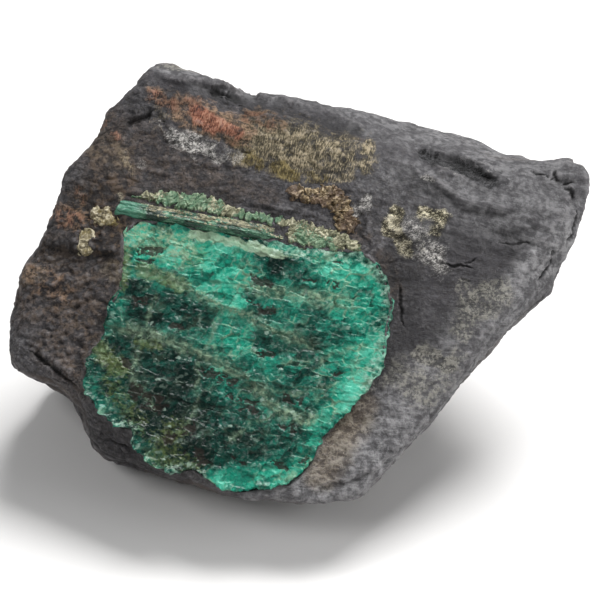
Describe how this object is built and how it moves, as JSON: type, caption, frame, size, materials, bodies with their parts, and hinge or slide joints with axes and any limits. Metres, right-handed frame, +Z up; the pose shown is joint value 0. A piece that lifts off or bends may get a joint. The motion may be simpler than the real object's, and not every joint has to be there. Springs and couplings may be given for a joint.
{
  "type": "emerald crystal cluster in schist",
  "caption": "Broken hand specimen of dark mica schist with a large rough emerald in its sloping front face, a slender emerald prism and mica crusts above it.",
  "frame": {"origin": "on the flat base at z = 0, under the middle of the stone", "axes": "+Z up, +X along the stone's longest side to the right of a viewer who faces the emerald, -Y toward that viewer"},
  "size_m": [0.1098, 0.0723, 0.065],
  "materials": {
    "schist": "dark grey mica schist, matte with fine glints",
    "emerald": "rough broken emerald, cloudy blue-green, glassy on its facets",
    "prism_emerald": "cloudy green emerald prism, satin",
    "olive_mica": "crumbly olive mica with glints",
    "rusty_mica": "rusty mica flakes with glints",
    "pale_mica": "pale yellowish mica flakes"
  },
  "bodies": {
    "root": {"matrix_rock": "schist", "emerald_crystal": "emerald", "emerald_prism": "prism_emerald", "mica_seam": "olive_mica", "mica_knot": "rusty_mica", "mica_clump": "pale_mica", "mica_lump": "pale_mica"}
  },
  "joints": []
}
